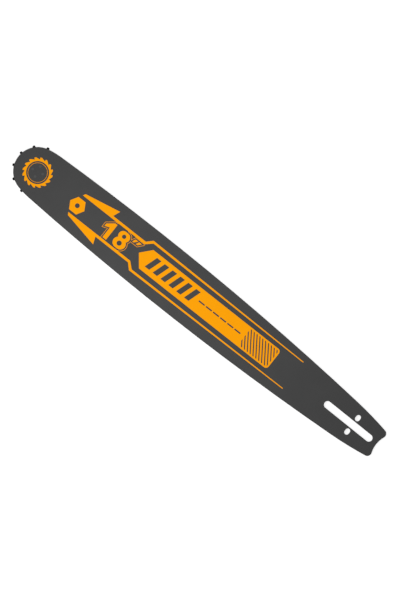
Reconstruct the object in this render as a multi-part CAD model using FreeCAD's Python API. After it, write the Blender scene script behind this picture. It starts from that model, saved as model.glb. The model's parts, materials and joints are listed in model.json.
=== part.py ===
import FreeCAD, Part
import math
import os

# A chainsaw guide bar, in millimetres: two side plates on a narrower core plate, a toothed wheel on
# needle rollers in the nose, and a film of gold ink on the upper face. X runs to the nose and Z is
# up. The origin is the middle of the stud slot, on the lower face, where the saw clamps the bar.

# Plates
side_plate_t = 1.45
groove_width = 1.5
groove_depth = 7.0
edge_bevel = 0.3

# Outline, from the nose to the tail: the long sides swell to their widest and then fall to the tail
sprocket_x = 438.6
nose_r = 27.05
nose_relief = 1.05
nose_blend_r = 95.0
belly = 4.5
widest_x = 260.0
shoulder_drop = 9.45
shoulder_x = 6.15
shoulder_r = 428.0
tail_wall = 6.25
tail_notch_r = 29.7
tail_corner_r = 5.0

# Stud slot and the two tensioner holes beside it
slot_length = 66.6
slot_width = 8.2
tensioner_x = -6.1
tensioner_length = 7.4
tensioner_width = 5.7
tensioner_web = 1.63

# Nose wheel
tooth_count = 11
tooth_turn = -9.9
tooth_reach = 1.95
tooth_t = 3.85
tooth_tip_t = 2.2
tooth_bevel_depth = 2.7
gullet_depth = 9.35
sprocket_t = 1.3
pocket_gap = 0.85

# Needle bearing and the rivets that hold its inner race between the side plates
race_r = 8.6
roller_d = 3.0
roller_side_gap = 0.2
running_gap = 0.05
rivet_count = 4
rivet_turn = 11.0
rivet_circle_r = 6.2
rivet_r = 1.5
rivet_recess = 0.05

# Ink film, drawn about the nose wheel's axis and printed a little askew
ink_t = 0.05
print_turn = 0.5
print_shift = 1.78

# Saw-toothed ring round the bearing, with a thin ring inside it
ring_ahead = -0.7
ring_aside = 0.86
ring_hole_r = 12.7
ring_band = 1.85
ring_tooth_h = 2.35
ring_tooth_count = 16
ring_tooth_turn = 5.85
ring_tip_start = 0.72
thin_ring_gap = 1.7
thin_ring_width = 0.42

# Hexagon nut behind the ring
nut_aft = 57.55
nut_across_flats = 17.05
nut_aside = 0.65
nut_hole_r = 2.65

# Borders: a barbed head, a band, a step out and a line that thins towards the tail
border_inner = 12.08
border_band = 2.92
border_stagger = 1.3
head_tip_aft = 54.65
head_tip_slant = 1.7
head_tip_width = 3.0
head_length = 43.5
head_width = 11.2
head_notch = 3.25
step_aft = 140.6
step_slant = 6.1
step_rise = 6.15
step_inner_lag = 0.8
step_inner_slant = 7.2
line_start_width = 2.55
line_end_width = 1.0
line_end_rise = 5.8
line_end_gap = 45.9

# Panel with a pointed front, and what is left open in its ink
panel_tip_aft = 142.7
panel_half_width = 12.88
panel_aside = -0.14
panel_point = 10.75
panel_tip_aside = -0.66
panel_corner_r = 3.8
panel_end_gap = 27.05
bar_count = 6
bar_front_gap = 3.6
bar_pitch = 11.0
bar_width = 6.2
bar_height = 15.8
bar_lean = 5.0
bar_aside = -0.65
dash_pitch = 10.0
dash_length = 8.2
dash_height = 1.6
dash_margin = 4.0
hatch_margin = 1.8
hatch_length = 39.5
hatch_pitch = 4.0
hatch_line = 1.6
hatch_lean = 35.0

# Digits and inch mark of the bar's size, between the borders, and the thin line round them
digit_margin = 1.81
digit_aside = 0.26
one_aft = 94.65
one_stem_width = 5.0
one_width = 10.85
one_flag_height = 6.2
one_flag_width = 3.25
one_flag_rise = 2.1
eight_aft = 119.15
upper_lobe_length = 14.05
upper_lobe_width = 11.1
upper_hole_r = 2.35
lower_lobe_length = 15.4
lower_lobe_width = 12.3
lower_hole_r = 2.8
keyline_gap = 1.4
keyline_width = 0.5
mark_aft = 129.1
mark_pitch = 5.0
mark_height = 3.95
mark_width = 2.25
mark_top_width = 3.8
mark_lean = 1.9

# Worked out from the sizes above
through = 1.0
bar_t = 2 * side_plate_t + groove_width
sprocket_z = side_plate_t + (groove_width - sprocket_t) / 2
half_nose = nose_r + nose_relief
half_widest = half_nose + belly
half_shoulder = half_widest - shoulder_drop
tail_x = -(slot_length / 2 + tail_wall)
tensioner_y = slot_width / 2 + tensioner_web + tensioner_length / 2
tip_r = nose_r + tooth_reach
root_r = tip_r - gullet_depth
roller_circle_r = race_r + running_gap + roller_d / 2
bore_r = race_r + 2 * running_gap + roller_d
roller_count = int(2 * math.pi * roller_circle_r / (roller_d + roller_side_gap))
line_end_aft = sprocket_x - slot_length / 2 - line_end_gap
panel_end_aft = line_end_aft - panel_end_gap
digit_half_height = border_inner - digit_margin
digit_top = digit_aside - digit_half_height
digit_foot = digit_aside + digit_half_height
up = FreeCAD.Vector(0, 0, 1)


def vec(x, y, z=0.0):
    return FreeCAD.Vector(x, y, z)


def toward(centre, point, radius):
    """The point at a radius from the centre, on the side of another point."""
    return centre + (point - centre).normalize() * radius


def meeting(centre_a, radius_a, centre_b, radius_b):
    """Where two circles cross, on the left of the way from the first centre to the second."""
    apart = centre_b - centre_a
    ahead = (apart.Length**2 + radius_a**2 - radius_b**2) / (2 * apart.Length)
    aside = math.sqrt(radius_a**2 - ahead**2)
    way = apart.normalize()
    return centre_a + way * ahead + vec(-way.y, way.x) * aside


def arc(start, end, centre):
    """The shorter round edge from start to end."""
    middle = toward(centre, (start + end) * 0.5, (start - centre).Length)
    return Part.Arc(start, middle, end).toShape()


def line(start, end):
    return Part.LineSegment(start, end).toShape()


def polygon(points):
    return Part.Face(Part.makePolygon(points + points[:1]))


def side_radius(length, drop):
    """The radius of an arc that falls by a drop over a length, starting level."""
    return (length**2 + drop**2) / (2 * drop)


def outline(inset):
    """The bar's outline as a face, with its long sides and nose moved in by an inset."""
    axis = vec(sprocket_x, 0)
    nose_side_r = side_radius(sprocket_x - widest_x, belly)
    tail_side_r = side_radius(widest_x - shoulder_x, shoulder_drop)
    nose_side = vec(widest_x, half_widest - nose_side_r)
    tail_side = vec(widest_x, half_widest - tail_side_r)
    blend = meeting(nose_side, nose_side_r - nose_blend_r, axis, nose_blend_r - nose_r)
    shoulder_start = vec(shoulder_x, half_shoulder)
    shoulder = toward(shoulder_start, tail_side, shoulder_r)
    notch = vec(tail_x - tail_notch_r, 0)

    nose_end = toward(blend, axis, nose_blend_r - inset)
    side_start = toward(nose_side, blend, nose_side_r - inset)
    widest = vec(widest_x, half_widest - inset)
    side_end = toward(tail_side, shoulder_start, tail_side_r - inset)
    corner = meeting(notch, tail_notch_r, shoulder, shoulder_r - inset)

    left = [
        arc(nose_end, side_start, blend),
        arc(side_start, widest, nose_side),
        arc(widest, side_end, tail_side),
        arc(side_end, corner, shoulder),
    ]
    middle = vec(0, 0)
    right = [edge.mirror(middle, vec(0, 1)) for edge in reversed(left)]
    nose_tip = vec(sprocket_x + nose_r - inset, 0)
    nose = Part.Arc(vec(nose_end.x, -nose_end.y), nose_tip, nose_end).toShape()
    tail = Part.Arc(corner, vec(tail_x, 0), vec(corner.x, -corner.y)).toShape()
    return Part.Face(Part.Wire([nose] + left + [tail] + right))


def obround(length, width):
    """A face with round ends, its middle at the origin and its length along X."""
    reach = (length - width) / 2
    side = width / 2
    edges = [
        line(vec(-reach, -side), vec(reach, -side)),
        Part.Arc(vec(reach, -side), vec(reach + side, 0), vec(reach, side)).toShape(),
        line(vec(reach, side), vec(-reach, side)),
        Part.Arc(vec(-reach, side), vec(-reach - side, 0), vec(-reach, -side)).toShape(),
    ]
    return Part.Face(Part.Wire(edges))


def stud_cutters():
    """The stud slot and the two tensioner holes, which stand across it, as cutters."""
    depth = vec(0, 0, bar_t + 2 * through)
    cutters = [obround(slot_length, slot_width).extrude(depth)]
    for y in (-tensioner_y, tensioner_y):
        hole = obround(tensioner_length, tensioner_width).extrude(depth)
        hole.rotate(vec(0, 0), up, 90)
        hole.translate(vec(tensioner_x, y))
        cutters.append(hole)
    for cutter in cutters:
        cutter.translate(vec(0, 0, -through))
    return cutters


def rivet_pins(bottom, top):
    """The four round pins of the rivets, between two heights."""
    pins = []
    for i in range(rivet_count):
        turn = math.radians(rivet_turn + i * 360 / rivet_count)
        x = sprocket_x + rivet_circle_r * math.cos(turn)
        y = rivet_circle_r * math.sin(turn)
        pins.append(Part.makeCylinder(rivet_r, top - bottom, vec(x, y, bottom)))
    return pins


def side_plate(inner_z, outer_z):
    """A side plate, bevelled round its outer face, with its slot and holes."""
    plate = outline(0).extrude(vec(0, 0, outer_z - inner_z))
    plate.translate(vec(0, 0, inner_z))
    corners = [
        edge
        for edge in plate.Edges
        if edge.BoundBox.ZLength > side_plate_t / 2 and edge.BoundBox.XMax < tail_x
    ]
    plate = plate.makeFillet(tail_corner_r, corners)
    face_gap = side_plate_t / 10
    rim = [
        edge
        for edge in plate.Edges
        if abs(edge.BoundBox.ZMin - outer_z) < face_gap
        and abs(edge.BoundBox.ZMax - outer_z) < face_gap
    ]
    plate = plate.makeChamfer(edge_bevel, rim)
    return plate.cut(stud_cutters() + rivet_pins(0, bar_t))


def core_plate():
    """The core, set in from the side plates by the chain groove and hollowed for the nose wheel."""
    core = outline(groove_depth).extrude(vec(0, 0, groove_width))
    core.translate(vec(0, 0, side_plate_t))
    pocket = Part.makeCylinder(tip_r + pocket_gap, bar_t, vec(sprocket_x, 0))
    return core.cut([pocket] + stud_cutters())


def gullet(half_pitch):
    """The U between two teeth, opening outwards along X, with bevels that make the tooth tips."""
    flank_x = tip_r - tooth_bevel_depth
    half = flank_x * math.tan(half_pitch) - tooth_t / (2 * math.cos(half_pitch))
    tip_angle = half_pitch - math.asin(tooth_tip_t / (2 * tip_r))
    tip = vec(tip_r * math.cos(tip_angle), tip_r * math.sin(tip_angle))
    flank = vec(flank_x, half)
    beyond = flank + (tip - flank) * 2
    floor_x = root_r + half

    def other(point):
        return vec(point.x, -point.y)

    start = vec(floor_x, half)
    edges = [
        Part.Arc(start, vec(root_r, 0), other(start)).toShape(),
        line(other(start), other(flank)),
        line(other(flank), other(beyond)),
        line(other(beyond), beyond),
        line(beyond, flank),
        line(flank, start),
    ]
    return Part.Face(Part.Wire(edges)).extrude(vec(0, 0, sprocket_t))


def nose_sprocket():
    """The nose wheel: a flat disc with a gullet for each drive link of the chain."""
    wheel = Part.makeCylinder(tip_r, sprocket_t)
    pitch = 360 / tooth_count
    cutters = [Part.makeCylinder(bore_r, sprocket_t)]
    for i in range(tooth_count):
        cutter = gullet(math.radians(pitch / 2))
        cutter.rotate(vec(0, 0), up, tooth_turn + (i + 0.5) * pitch)
        cutters.append(cutter)
    wheel = wheel.cut(cutters)
    wheel.translate(vec(sprocket_x, 0, sprocket_z))
    return wheel


def bearing_race():
    race = Part.makeCylinder(race_r, groove_width, vec(sprocket_x, 0, side_plate_t))
    return race.cut(rivet_pins(0, bar_t))


def nose_rivets():
    """The rivets, set back a little from both faces so that the bar lies flat."""
    return Part.Compound(rivet_pins(rivet_recess, bar_t - rivet_recess))


def needle_roller(index):
    turn = 2 * math.pi * index / roller_count
    x = sprocket_x + roller_circle_r * math.cos(turn)
    y = roller_circle_r * math.sin(turn)
    return Part.makeCylinder(roller_d / 2, sprocket_t, vec(x, y, sprocket_z))


def ink(faces):
    """A film on the upper face, from faces drawn about the nose wheel's axis."""
    film = Part.Compound([face.extrude(vec(0, 0, ink_t)) for face in faces])
    film.rotate(vec(0, 0), up, print_turn)
    film.translate(vec(sprocket_x, print_shift, bar_t))
    return film if len(film.Solids) > 1 else film.Solids[0]


def ring_ink(face):
    """A film for the rings, which have a middle of their own."""
    film = face.extrude(vec(0, 0, ink_t))
    film.translate(vec(sprocket_x + ring_ahead, ring_aside, bar_t))
    return film


def aft(distance, aside):
    """A point of the print, so far behind the nose wheel's axis."""
    return vec(-distance, aside)


def disc(radius):
    return Part.Face(Part.Wire(Part.makeCircle(radius)))


def saw_ring():
    """A flat ring with raked teeth outside, their steep sides all one way round."""
    root = ring_hole_r + ring_band
    tip = root + ring_tooth_h
    pitch = 360 / ring_tooth_count
    points = []
    for i in range(ring_tooth_count):
        for radius, share in ((root, 0), (tip, ring_tip_start), (tip, 1)):
            turn = math.radians(ring_tooth_turn + (i + share) * pitch)
            points.append(vec(radius * math.cos(turn), radius * math.sin(turn)))
    return ring_ink(polygon(points).cut(disc(ring_hole_r)))


def thin_ring():
    outer = ring_hole_r - thin_ring_gap
    return ring_ink(disc(outer).cut(disc(outer - thin_ring_width)))


def nut():
    corner = nut_across_flats / 2 / math.cos(math.pi / 6)
    hexagon = polygon(
        [vec(corner * math.cos(i * math.pi / 3), corner * math.sin(i * math.pi / 3)) for i in range(6)]
    )
    face = hexagon.cut(disc(nut_hole_r))
    face.translate(aft(nut_aft, nut_aside))
    return ink([face])


def border(side):
    """A barbed head and its band, stepping out to the line beside the panel, on one side."""
    lag = -side * border_stagger / 2
    tip = head_tip_aft + lag
    step = step_aft + lag
    outer = border_inner + border_band
    head_end = tip + head_tip_slant + head_length
    head_outer = border_inner + head_width
    line_inner = outer + step_rise - line_start_width
    line_end_inner = border_inner + line_end_rise
    outline_points = [
        (tip, border_inner),
        (tip + head_tip_slant, border_inner + head_tip_width),
        (head_end - head_tip_slant, head_outer),
        (head_end - head_tip_slant - head_notch, outer),
        (step, outer),
        (step + step_slant, outer + step_rise),
        (line_end_aft, line_end_inner + line_end_width),
        (line_end_aft, line_end_inner),
        (step + step_inner_lag + step_inner_slant, line_inner),
        (step + step_inner_lag, border_inner),
    ]
    return ink([polygon([aft(distance, side * across) for distance, across in outline_points])])


def panel_outline():
    """The panel: a pointed front, straight sides and a tail with rounded corners."""
    half = panel_half_width
    r = panel_corner_r
    end = panel_end_aft
    tip = aft(panel_tip_aft, panel_tip_aside)
    shoulder_aft = panel_tip_aft + panel_point
    diagonal = r * (1 - math.sqrt(0.5))
    corner_left = Part.Arc(aft(end - r, half), aft(end - diagonal, half - diagonal), aft(end, half - r))
    corner_right = Part.Arc(aft(end, r - half), aft(end - diagonal, diagonal - half), aft(end - r, -half))
    edges = [
        line(tip, aft(shoulder_aft, half)),
        line(aft(shoulder_aft, half), aft(end - r, half)),
        corner_left.toShape(),
        line(aft(end, half - r), aft(end, r - half)),
        corner_right.toShape(),
        line(aft(end - r, -half), aft(shoulder_aft, -half)),
        line(aft(shoulder_aft, -half), tip),
    ]
    return Part.Face(Part.Wire(edges))


def leaning_bars():
    """A row of wide slanted bars."""
    top = bar_aside - bar_height / 2
    foot = bar_aside + bar_height / 2
    bars = []
    for i in range(bar_count):
        front = panel_tip_aft + panel_point + bar_front_gap + i * bar_pitch
        bars.append(
            polygon(
                [
                    aft(front, foot),
                    aft(front + bar_width, foot),
                    aft(front + bar_width + bar_lean, top),
                    aft(front + bar_lean, top),
                ]
            )
        )
    return bars


def dashes():
    """A row of short dashes along the middle, from the bars to the hatching."""
    bars_end = bar_front_gap + (bar_count - 1) * bar_pitch + bar_width + bar_lean
    start = panel_tip_aft + panel_point + bars_end + dash_margin
    end = panel_end_aft - hatch_margin - hatch_length - dash_margin
    count = max(0, int((end - start + dash_pitch - dash_length) / dash_pitch))
    half = dash_height / 2
    return [
        polygon(
            [
                aft(start + i * dash_pitch, -half),
                aft(start + i * dash_pitch + dash_length, -half),
                aft(start + i * dash_pitch + dash_length, half),
                aft(start + i * dash_pitch, half),
            ]
        )
        for i in range(count)
    ]


def hatching():
    """Thin slanted lines across a field near the panel's tail."""
    end = panel_end_aft - hatch_margin
    half = panel_half_width - hatch_margin
    corners = [aft(end - hatch_length, -half), aft(end, -half), aft(end, half)]
    field = polygon(corners + [aft(end - hatch_length, half)])
    spread = 2 * half * math.tan(math.radians(hatch_lean))
    count = int((hatch_length + spread) / hatch_pitch)
    stripes = []
    for i in range(count):
        foot = end - hatch_length - spread + (i + 1) * hatch_pitch
        stripe = polygon(
            [
                aft(foot, -half),
                aft(foot + hatch_line, -half),
                aft(foot + hatch_line + spread, half),
                aft(foot + spread, half),
            ]
        )
        stripes.extend(stripe.common(field).Faces)
    return stripes


def panel():
    """The gold panel, with bars, dashes and hatching left open so that the paint shows."""
    face = panel_outline().cut(leaning_bars() + dashes() + hatching())
    face.translate(vec(0, panel_aside))
    return ink([face])


def one_face():
    """The digit one: a stem with a flag that leans back from its top."""
    right = one_aft + one_width
    stem = right - one_stem_width
    flag_foot = digit_top + one_flag_height + one_flag_width
    points = [
        (right, digit_top),
        (one_aft + one_flag_height + one_flag_width / 2, digit_top),
        (one_aft, digit_top + one_flag_height),
        (one_aft, flag_foot),
        (stem, flag_foot - one_flag_rise),
        (stem, digit_foot),
        (right, digit_foot),
    ]
    return polygon([aft(distance, across) for distance, across in points])


def eight_face():
    """The digit eight without its holes: two round-ended lobes that overlap at the waist."""
    upper = obround(upper_lobe_length, upper_lobe_width)
    upper.translate(aft(eight_aft, digit_top + upper_lobe_width / 2))
    lower = obround(lower_lobe_length, lower_lobe_width)
    lower.translate(aft(eight_aft, digit_foot - lower_lobe_width / 2))
    return upper.fuse(lower).removeSplitter().Faces[0]


def stroke_faces():
    """The inch mark: two short strokes that narrow downwards."""
    strokes = []
    for i in range(2):
        foot = mark_aft + i * mark_pitch
        strokes.append(
            polygon(
                [
                    aft(foot, digit_top + mark_height),
                    aft(foot + mark_width, digit_top + mark_height),
                    aft(foot + mark_lean + mark_top_width, digit_top),
                    aft(foot + mark_lean, digit_top),
                ]
            )
        )
    return strokes


def digit_eight():
    holes = [disc(upper_hole_r), disc(lower_hole_r)]
    holes[0].translate(aft(eight_aft, digit_top + upper_lobe_width / 2))
    holes[1].translate(aft(eight_aft, digit_foot - lower_lobe_width / 2))
    return ink([eight_face().cut(holes)])


def keyline_part(faces, aft_start, aft_end):
    """A line of even width round some faces, kept between the borders and two places along."""
    outer = [face.makeOffset2D(keyline_gap + keyline_width, join=2) for face in faces]
    inner = [face.makeOffset2D(keyline_gap, join=2) for face in faces]
    window = polygon(
        [
            aft(aft_start, -border_inner),
            aft(aft_end, -border_inner),
            aft(aft_end, border_inner),
            aft(aft_start, border_inner),
        ]
    )
    grown = outer[0].multiFuse(outer[1:]).removeSplitter()
    return grown.cut(inner).common(window).Faces


def keyline():
    """A thin line round the front of the one, and round the back of the eight and the strokes."""
    front = keyline_part([one_face()], head_tip_aft, one_aft + one_width)
    back = keyline_part([eight_face()] + stroke_faces(), eight_aft, panel_tip_aft)
    return ink(front + back)


parts = {
    "lower_side_plate": side_plate(side_plate_t, 0),
    "core_plate": core_plate(),
    "upper_side_plate": side_plate(side_plate_t + groove_width, bar_t),
    "nose_sprocket": nose_sprocket(),
    "bearing_race": bearing_race(),
    "nose_rivets": nose_rivets(),
    "print_saw_ring": saw_ring(),
    "print_thin_ring": thin_ring(),
    "print_nut": nut(),
    "print_border_left": border(1),
    "print_border_right": border(-1),
    "print_panel": panel(),
    "print_digit_one": ink([one_face()]),
    "print_digit_eight": digit_eight(),
    "print_inch_mark": ink(stroke_faces()),
    "print_keyline": keyline(),
}
for index in range(roller_count):
    parts[f"needle_roller_{index + 1:02d}"] = needle_roller(index)

os.makedirs("parts", exist_ok=True)
for name, shape in parts.items():
    shape.exportStep(f"parts/{name}.step")
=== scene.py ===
import json
import math

import bpy
from mathutils import Matrix, Vector


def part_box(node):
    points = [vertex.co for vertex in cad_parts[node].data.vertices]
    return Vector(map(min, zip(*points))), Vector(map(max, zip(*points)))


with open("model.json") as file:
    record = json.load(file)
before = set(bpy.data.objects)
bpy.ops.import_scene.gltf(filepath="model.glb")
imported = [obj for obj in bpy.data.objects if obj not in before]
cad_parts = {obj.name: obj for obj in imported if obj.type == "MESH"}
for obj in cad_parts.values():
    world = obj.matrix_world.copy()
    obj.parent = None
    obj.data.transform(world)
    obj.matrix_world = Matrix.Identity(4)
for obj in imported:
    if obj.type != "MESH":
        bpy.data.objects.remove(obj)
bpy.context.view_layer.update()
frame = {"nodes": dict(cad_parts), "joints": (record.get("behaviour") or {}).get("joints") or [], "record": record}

# Lengths are in metres, colours are linear, and pixels count from the photograph's upper left corner

# The photograph looks straight down, and the bar falls to the right in it, from the nose to the tail
PHOTO_SIZE_PX = (401, 601)
NOSE_AXIS_PX = (37.65, 171.56)
METRES_PER_PX = 0.0011
BAR_FALL_DEG = 38.81
LENS_MM = 150
SENSOR_MM = 36

# Satin paint: soft clouds of tone, the waviness of a sprayed coat, and a fine grain
PAINT_DARK = (0.0290, 0.0290, 0.0292, 1)
PAINT_LIGHT = (0.0355, 0.0355, 0.0353, 1)
PAINT_SPECULAR = 0.22
PAINT_ROUGHNESS = (0.50, 0.42)
CLOUD_SIZE = 0.030
PEEL_SIZE = 0.0012
PEEL_HEIGHT = 0.000020
GRAIN_SIZE = 0.0004
GRAIN_HEIGHT = 0.000006

# The same paint made paler on the rivet heads, as a painted highlight
RIVET_HIGHLIGHT_DARK = (0.0450, 0.0450, 0.0452, 1)
RIVET_HIGHLIGHT_LIGHT = (0.0570, 0.0570, 0.0568, 1)

# Painted shade on the edges: how squarely a surface faces up or down, from 0 to 1, where the painted
# shade starts and where it is full
EDGE_PAINTED_SHADE = (0.006, 0.006, 0.0061, 1)
EDGE_SHADE_START = 0.98
EDGE_SHADE_FULL = 0.90

# Gold ink: uneven in depth, with the weave of the screen in it
INK_DEEP = (0.93, 0.337, 0.0, 1)
INK_LIGHT = (0.98, 0.370, 0.0, 1)
INK_SPECULAR = 0.04
INK_ROUGHNESS = (0.52, 0.60)
INK_DEPTH_SIZE = 0.012
WEAVE_SIZE = 0.0003
WEAVE_HEIGHT = 0.000008

# Blackened steel: patchy, with grinding scratches drawn out along X
OXIDE_DARK = (0.001, 0.001, 0.001, 1)
OXIDE_LIGHT = (0.003, 0.003, 0.003, 1)
OXIDE_SPECULAR = 0.08
OXIDE_ROUGHNESS = (0.34, 0.50)
PATCH_SIZE = 0.006
SCRATCH_SIZE = 0.0010
SCRATCH_SCALE = (0.08, 1, 1)
SCRATCH_HEIGHT = 0.000012

# Bearing steel: bright, with fine lines drawn out along Z
BEARING_DARK = (0.42, 0.42, 0.43, 1)
BEARING_LIGHT = (0.62, 0.62, 0.63, 1)
BEARING_ROUGHNESS = (0.20, 0.32)
LINE_SIZE = 0.0008
LINE_SCALE = (1, 1, 0.05)
LINE_HEIGHT = 0.000003

# Lamps: the key lamp's place makes the paint palest at the middle of the bar and darkest at the tail
KEY_PLACE = (0.29, 0.17, 0.60)
KEY_SIZE = 0.4
KEY_POWER = 2.0
FILL_PLACE = (0.40, -0.80, 1.20)
FILL_SIZE = 1.2
FILL_POWER = 0.9

# Surroundings: an even light on things, and white to the camera and to reflections. The floor by
# itself falls short of white, and a glow that lights nothing else lifts it.
WHITE = (1, 1, 1, 1)
WORLD_LIGHT = 0.55
WORLD_SEEN = 1.0
FLOOR_COLOUR = (0.42, 0.42, 0.42, 1)
FLOOR_LIFT = 0.765
FLOOR_SIZE = 12.0
FLOOR_GAP = 0.0001


def mixed(tree, factor, low, high):
    """A colour between two plain ones, by a factor from 0 to 1."""
    mix = tree.nodes.new("ShaderNodeMix")
    mix.data_type = "RGBA"
    mix.inputs["A"].default_value = low
    mix.inputs["B"].default_value = high
    tree.links.new(factor, mix.inputs["Factor"])
    return mix.outputs["Result"]


def covered(tree, factor, under, over):
    """A plain colour laid over a varied one, by a factor from 0 to 1."""
    mix = tree.nodes.new("ShaderNodeMix")
    mix.data_type = "RGBA"
    mix.inputs["B"].default_value = over
    tree.links.new(under, mix.inputs["A"])
    tree.links.new(factor, mix.inputs["Factor"])
    return mix.outputs["Result"]


def spread(tree, factor, low, high):
    """A value from 0 to 1, spread over a range."""
    span = tree.nodes.new("ShaderNodeMapRange")
    span.inputs["To Min"].default_value = low
    span.inputs["To Max"].default_value = high
    tree.links.new(factor, span.inputs["Value"])
    return span.outputs["Result"]


def noise(tree, size, detail, scale=(1, 1, 1)):
    """Cloudy noise whose features are about a size across. A scale under 1 draws them out."""
    coords = tree.nodes.new("ShaderNodeTexCoord")
    mapping = tree.nodes.new("ShaderNodeMapping")
    mapping.inputs["Scale"].default_value = scale
    texture = tree.nodes.new("ShaderNodeTexNoise")
    texture.inputs["Scale"].default_value = 1 / size
    texture.inputs["Detail"].default_value = detail
    tree.links.new(coords.outputs["Object"], mapping.inputs["Vector"])
    tree.links.new(mapping.outputs["Vector"], texture.inputs["Vector"])
    return texture.outputs["Fac"]


def bumped(tree, pattern, height, below=None):
    """A surface raised by a pattern, on top of the surface below if there is one."""
    bump = tree.nodes.new("ShaderNodeBump")
    bump.inputs["Distance"].default_value = height
    tree.links.new(pattern, bump.inputs["Height"])
    if below:
        tree.links.new(below, bump.inputs["Normal"])
    return bump.outputs["Normal"]


def edge_shade_factor(tree):
    """How much painted shade a surface gets: 1 on bevels and on the walls of edges, and 0 on the flat faces."""
    coords = tree.nodes.new("ShaderNodeTexCoord")
    split = tree.nodes.new("ShaderNodeSeparateXYZ")
    flatness = tree.nodes.new("ShaderNodeMath")
    flatness.operation = "ABSOLUTE"
    span = tree.nodes.new("ShaderNodeMapRange")
    span.inputs["From Min"].default_value = EDGE_SHADE_START
    span.inputs["From Max"].default_value = EDGE_SHADE_FULL
    tree.links.new(coords.outputs["Normal"], split.inputs["Vector"])
    tree.links.new(split.outputs["Z"], flatness.inputs[0])
    tree.links.new(flatness.outputs["Value"], span.inputs["Value"])
    return span.outputs["Result"]


def new_material(name):
    """A material with nodes, still plain."""
    material = bpy.data.materials.new(name)
    material.use_nodes = True
    return material


def finished(material, colour, roughness, surface, metallic=0.0, specular=0.5):
    """A material whose colour, roughness and surface vary as its nodes say."""
    links = material.node_tree.links
    shader = material.node_tree.nodes["Principled BSDF"]
    shader.inputs["Metallic"].default_value = metallic
    shader.inputs["Specular IOR Level"].default_value = specular
    links.new(colour, shader.inputs["Base Color"])
    links.new(roughness, shader.inputs["Roughness"])
    links.new(surface, shader.inputs["Normal"])
    return material


def dark_paint(name, dark, light):
    """Satin dark grey paint, a little uneven as sprayed paint is, with painted shade on its edges."""
    material = new_material(name)
    tree = material.node_tree
    clouds = noise(tree, CLOUD_SIZE, detail=3)
    paint = mixed(tree, clouds, dark, light)
    # Painted shade: the bevels and walls of edges are coloured near black
    colour = covered(tree, edge_shade_factor(tree), paint, EDGE_PAINTED_SHADE)
    roughness = spread(tree, clouds, *PAINT_ROUGHNESS)
    peel = bumped(tree, noise(tree, PEEL_SIZE, detail=2), PEEL_HEIGHT)
    grain = bumped(tree, noise(tree, GRAIN_SIZE, detail=1), GRAIN_HEIGHT, peel)
    return finished(material, colour, roughness, grain, specular=PAINT_SPECULAR)


def gold_ink():
    """Screen-printed gold ink."""
    material = new_material("gold_ink")
    tree = material.node_tree
    depth = noise(tree, INK_DEPTH_SIZE, detail=3)
    colour = mixed(tree, depth, INK_DEEP, INK_LIGHT)
    roughness = spread(tree, depth, *INK_ROUGHNESS)
    weave = bumped(tree, noise(tree, WEAVE_SIZE, detail=0), WEAVE_HEIGHT)
    return finished(material, colour, roughness, weave, specular=INK_SPECULAR)


def black_oxide():
    """Blackened, ground steel with a little oil on it."""
    material = new_material("black_oxide")
    tree = material.node_tree
    patches = noise(tree, PATCH_SIZE, detail=4)
    colour = mixed(tree, patches, OXIDE_DARK, OXIDE_LIGHT)
    roughness = spread(tree, patches, *OXIDE_ROUGHNESS)
    scratches = bumped(tree, noise(tree, SCRATCH_SIZE, detail=3, scale=SCRATCH_SCALE), SCRATCH_HEIGHT)
    return finished(material, colour, roughness, scratches, specular=OXIDE_SPECULAR)


def bearing_steel():
    """Bright ground steel of the race and rollers."""
    material = new_material("bearing_steel")
    tree = material.node_tree
    lines = noise(tree, LINE_SIZE, detail=3, scale=LINE_SCALE)
    colour = mixed(tree, lines, BEARING_DARK, BEARING_LIGHT)
    roughness = spread(tree, lines, *BEARING_ROUGHNESS)
    return finished(material, colour, roughness, bumped(tree, lines, LINE_HEIGHT), metallic=1.0)


def seen_rays(tree):
    """1 for rays from the camera, or by way of gloss or glass, and 0 for the light on things."""
    path = tree.nodes.new("ShaderNodeLightPath")
    total = path.outputs["Is Camera Ray"]
    for name in ("Is Glossy Ray", "Is Transmission Ray"):
        largest = tree.nodes.new("ShaderNodeMath")
        largest.operation = "MAXIMUM"
        tree.links.new(total, largest.inputs[0])
        tree.links.new(path.outputs[name], largest.inputs[1])
        total = largest.outputs["Value"]
    return total


def white_floor():
    """A floor that looks white to the camera and to reflections, and still shows a soft shadow."""
    material = new_material("white_floor")
    tree = material.node_tree
    tree.nodes.remove(tree.nodes["Principled BSDF"])
    matte = tree.nodes.new("ShaderNodeBsdfDiffuse")
    matte.inputs["Color"].default_value = FLOOR_COLOUR
    glow = tree.nodes.new("ShaderNodeEmission")
    tree.links.new(spread(tree, seen_rays(tree), 0, FLOOR_LIFT), glow.inputs["Strength"])
    both = tree.nodes.new("ShaderNodeAddShader")
    tree.links.new(matte.outputs["BSDF"], both.inputs[0])
    tree.links.new(glow.outputs["Emission"], both.inputs[1])
    tree.links.new(both.outputs["Shader"], tree.nodes["Material Output"].inputs["Surface"])
    return material


def make_world():
    """Even light from all round, and pure white behind everything."""
    world = bpy.data.worlds.new("studio")
    bpy.context.scene.world = world
    world.use_nodes = True
    tree = world.node_tree
    background = tree.nodes["Background"]
    background.inputs["Color"].default_value = WHITE
    strength = spread(tree, seen_rays(tree), WORLD_LIGHT, WORLD_SEEN)
    tree.links.new(strength, background.inputs["Strength"])


def placed(name, data):
    """A new object in the scene."""
    made = bpy.data.objects.new(name, data)
    bpy.context.scene.collection.objects.link(made)
    return made


def make_floor():
    """A wide floor, a hair under the bar."""
    half = FLOOR_SIZE / 2
    corners = [(half * x, half * y, -FLOOR_GAP) for x, y in ((-1, -1), (1, -1), (1, 1), (-1, 1))]
    mesh = bpy.data.meshes.new("floor")
    mesh.from_pydata(corners, [], [(0, 1, 2, 3)])
    mesh.materials.append(white_floor())
    placed("floor", mesh)


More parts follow.
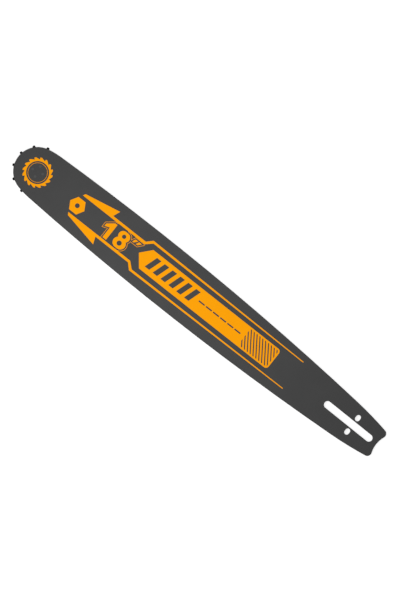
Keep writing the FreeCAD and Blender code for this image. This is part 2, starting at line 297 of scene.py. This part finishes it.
def make_camera():
    """A camera straight above, with the bar placed and turned in its frame as in the photograph.
    Returns the point that it looks at, level with the bar's upper face."""
    spin = next(joint for joint in frame["joints"] if joint["name"] == "sprocket_spin")
    fall = math.radians(BAR_FALL_DEG)
    right = Vector((-math.cos(fall), -math.sin(fall), 0))
    up = Vector((math.sin(fall), -math.cos(fall), 0))
    back = Vector((0, 0, 1))
    across = (PHOTO_SIZE_PX[0] / 2 - NOSE_AXIS_PX[0]) * METRES_PER_PX
    down = (PHOTO_SIZE_PX[1] / 2 - NOSE_AXIS_PX[1]) * METRES_PER_PX
    aim = Vector(spin["pos_m"]) + right * across - up * down
    aim.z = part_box("upper_side_plate")[1].z

    # The sensor's width goes to the longer side of the frame, which is its height
    distance = PHOTO_SIZE_PX[1] * METRES_PER_PX * LENS_MM / SENSOR_MM
    data = bpy.data.cameras.new("camera")
    data.lens = LENS_MM
    data.sensor_width = SENSOR_MM
    camera = placed("camera", data)
    turn = Matrix((right, up, back)).transposed()
    camera.matrix_world = Matrix.Translation(aim + back * distance) @ turn.to_4x4()
    bpy.context.scene.camera = camera
    return aim


def make_lamp(name, place, size, power, target):
    """A soft square lamp that points at a target."""
    data = bpy.data.lights.new(name, "AREA")
    data.shape = "SQUARE"
    data.size = size
    data.energy = power
    lamp = placed(name, data)
    lamp.location = place
    lamp.rotation_mode = "QUATERNION"
    lamp.rotation_quaternion = (Vector(place) - target).to_track_quat("Z", "Y")


# Each piece gets the finish of its material slot
finishes = {
    "dark_paint": dark_paint("satin_dark_paint", PAINT_DARK, PAINT_LIGHT),
    "gold_ink": gold_ink(),
    "black_oxide": black_oxide(),
    "bearing_steel": bearing_steel(),
}
for subpart in frame["record"]["subparts"]:
    node = frame["nodes"][subpart["node"]]
    node.material_slots[0].material = finishes[subpart["material_slot"]]

# The rivet heads get paler paint, a painted highlight that shows them as four paler dots
rivets = frame["nodes"]["nose_rivets"]
rivets.material_slots[0].material = dark_paint("rivet_painted_highlight", RIVET_HIGHLIGHT_DARK, RIVET_HIGHLIGHT_LIGHT)

make_world()
make_floor()
aim = make_camera()
make_lamp("key", KEY_PLACE, KEY_SIZE, KEY_POWER, aim)
make_lamp("fill", FILL_PLACE, FILL_SIZE, FILL_POWER, aim)
bpy.context.scene.view_settings.view_transform = "Standard"
